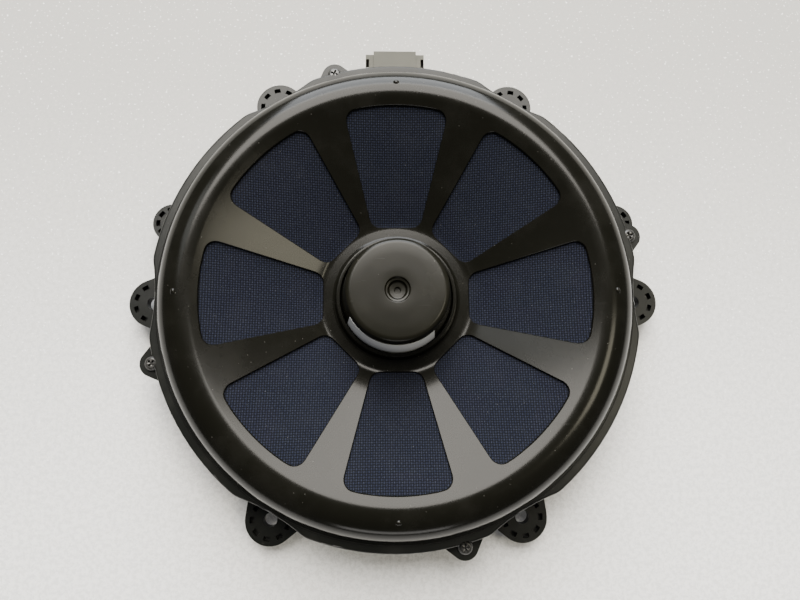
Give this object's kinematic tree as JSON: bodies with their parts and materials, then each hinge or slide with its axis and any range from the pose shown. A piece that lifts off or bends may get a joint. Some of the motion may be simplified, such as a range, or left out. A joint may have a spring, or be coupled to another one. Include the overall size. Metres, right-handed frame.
{
  "type": "car subwoofer speaker",
  "caption": "Ultra-shallow round car subwoofer driver: windowed steel dish with the motor can standing in it, on moulded mounting rings with lugs and a side plug socket.",
  "frame": {"origin": "centre of the six-hole mounting circle, on the underside of the mounting lugs", "axes": "+Z along the cone's axis towards the motor, +Y towards the electrical connector"},
  "size_m": [0.264, 0.25, 0.0526],
  "materials": {
    "ring_plastic": "satin",
    "gasket_foam": "matte",
    "screw_steel": "satin",
    "basket_paint": "semi-gloss",
    "cup_paint": "semi-gloss",
    "cloth": "woven",
    "magnet_plating": "nickel",
    "plate_steel": "zinc",
    "label_film": "satin",
    "surround_rubber": "matte",
    "spider_cloth": "woven",
    "cone_paper": "matte",
    "former_foil": "satin",
    "copper_wire": "enamelled",
    "tin_brass": "satin",
    "lead_braid": "braided",
    "connector_plastic": "satin"
  },
  "bodies": {
    "frame": {"mounting_ring": "ring_plastic", "mounting_gasket": "gasket_foam", "ring_seal": "gasket_foam", "frame_ring": "ring_plastic", "ring_screws": "screw_steel", "basket": "basket_paint", "acoustic_cloth": "cloth", "cup_seat_ring": "basket_paint", "motor_cup": "cup_paint", "magnet": "magnet_plating", "pole_plate": "plate_steel", "rating_label": "label_film", "surround": "surround_rubber", "spider": "spider_cloth", "tinsel_lead_left": "lead_braid", "tinsel_lead_right": "lead_braid", "connector_housing": "connector_plastic", "connector_pins": "tin_brass"},
    "cone": {"cone": "cone_paper", "dust_cap": "cone_paper", "coil_former": "former_foil", "coil_winding": "copper_wire", "coil_tails": "copper_wire", "lead_eyelets": "tin_brass"}
  },
  "joints": [
    {"name": "cone_travel", "type": "slide", "parent": "frame", "child": "cone", "axis": [0, 0, 1], "range_m": [-0.006, 0.006], "stiffness_N_per_m": 3000, "deforming": ["surround", "spider", "tinsel_lead_left", "tinsel_lead_right"]}
  ]
}
